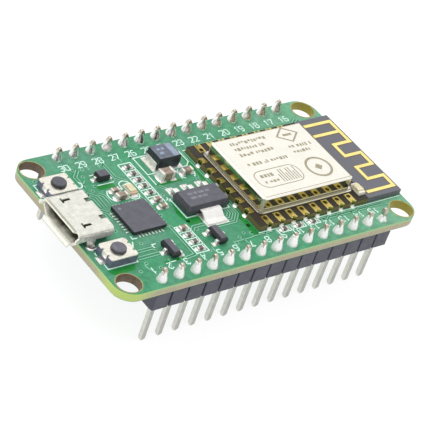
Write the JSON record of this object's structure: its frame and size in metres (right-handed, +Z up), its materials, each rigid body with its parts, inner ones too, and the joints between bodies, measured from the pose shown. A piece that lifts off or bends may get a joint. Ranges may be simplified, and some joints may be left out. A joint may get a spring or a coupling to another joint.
{
  "type": "microcontroller board",
  "caption": "Wi-Fi microcontroller board with a shielded radio module and printed aerial, micro USB receptacle, reset and flash push switches, and two rows of pins.",
  "frame": {"origin": "centre of the four mounting holes, on the underside of the main circuit board", "axes": "+X along the board from the USB receptacle to the aerial, +Z up out of the component side"},
  "size_m": [0.0496, 0.0252, 0.0126],
  "materials": {
    "board_laminate": "green solder mask over glass laminate, glossy",
    "header_plastic": "moulded, satin",
    "pin_metal": "tin plated",
    "solder": "bright solder",
    "module_laminate": "black solder mask over glass laminate",
    "pad_gold": "gold plated",
    "shield_metal": "satin nickel silver",
    "chip_plastic": "moulded epoxy, fine grained",
    "lead_metal": "tin plated, satin",
    "usb_steel": "stamped sheet, satin",
    "insulator_plastic": "moulded, satin",
    "contact_gold": "gold plated",
    "switch_plastic": "moulded, satin",
    "switch_metal": "stamped sheet, satin",
    "button_plastic": "moulded, satin",
    "spring_metal": "polished spring steel",
    "capacitor_ceramic": "fired ceramic, dull",
    "resistor_body": "printed film over ceramic",
    "crystal_can": "satin",
    "led_housing": "white housing",
    "led_resin": "clear resin over yellow phosphor"
  },
  "bodies": {
    "board": {"main_board": "board_laminate", "header_strip_front": "header_plastic", "header_strip_back": "header_plastic", "header_pins_front": "pin_metal", "header_pins_back": "pin_metal", "header_solder_front": "solder", "header_solder_back": "solder", "module_board": "module_laminate", "module_pads": "pad_gold", "module_antenna": "pad_gold", "module_solder": "solder", "module_shield": "shield_metal", "module_processor": "chip_plastic", "module_flash_chip": "chip_plastic", "module_flash_leads": "lead_metal", "module_crystal": "crystal_can", "module_passives": "capacitor_ceramic", "module_led_base": "led_housing", "module_led_lens": "led_resin", "usb_shell": "usb_steel", "usb_insulator": "insulator_plastic", "usb_contacts": "contact_gold", "usb_leg_solder": "solder", "reset_switch_base": "switch_plastic", "reset_switch_cover": "switch_metal", "reset_switch_dome": "spring_metal", "reset_switch_terminals": "lead_metal", "flash_switch_base": "switch_plastic", "flash_switch_cover": "switch_metal", "flash_switch_dome": "spring_metal", "flash_switch_terminals": "lead_metal", "usb_bridge_chip": "chip_plastic", "usb_bridge_pads": "lead_metal", "regulator_body": "chip_plastic", "regulator_leads": "lead_metal", "tantalum_body": "chip_plastic", "tantalum_terminals": "lead_metal", "transistor_left_body": "chip_plastic", "transistor_left_leads": "lead_metal", "transistor_right_body": "chip_plastic", "transistor_right_leads": "lead_metal", "diode_body": "chip_plastic", "diode_leads": "lead_metal", "bulk_capacitor_body": "capacitor_ceramic", "bulk_capacitor_terminals": "lead_metal", "capacitor_bodies": "capacitor_ceramic", "capacitor_terminals": "lead_metal", "resistor_bodies": "resistor_body", "resistor_terminals": "lead_metal", "power_led_base": "led_housing", "power_led_lens": "led_resin", "component_solder": "solder"},
    "reset_button": {"reset_button": "button_plastic"},
    "flash_button": {"flash_button": "button_plastic"}
  },
  "joints": [
    {"name": "reset_press", "type": "slide", "parent": "board", "child": "reset_button", "axis": [0, 0, -1], "range_m": [0, 0.00025], "stiffness_N_per_m": 8000, "deforming": ["reset_switch_dome"]},
    {"name": "flash_press", "type": "slide", "parent": "board", "child": "flash_button", "axis": [0, 0, -1], "range_m": [0, 0.00025], "stiffness_N_per_m": 8000, "deforming": ["flash_switch_dome"]}
  ]
}
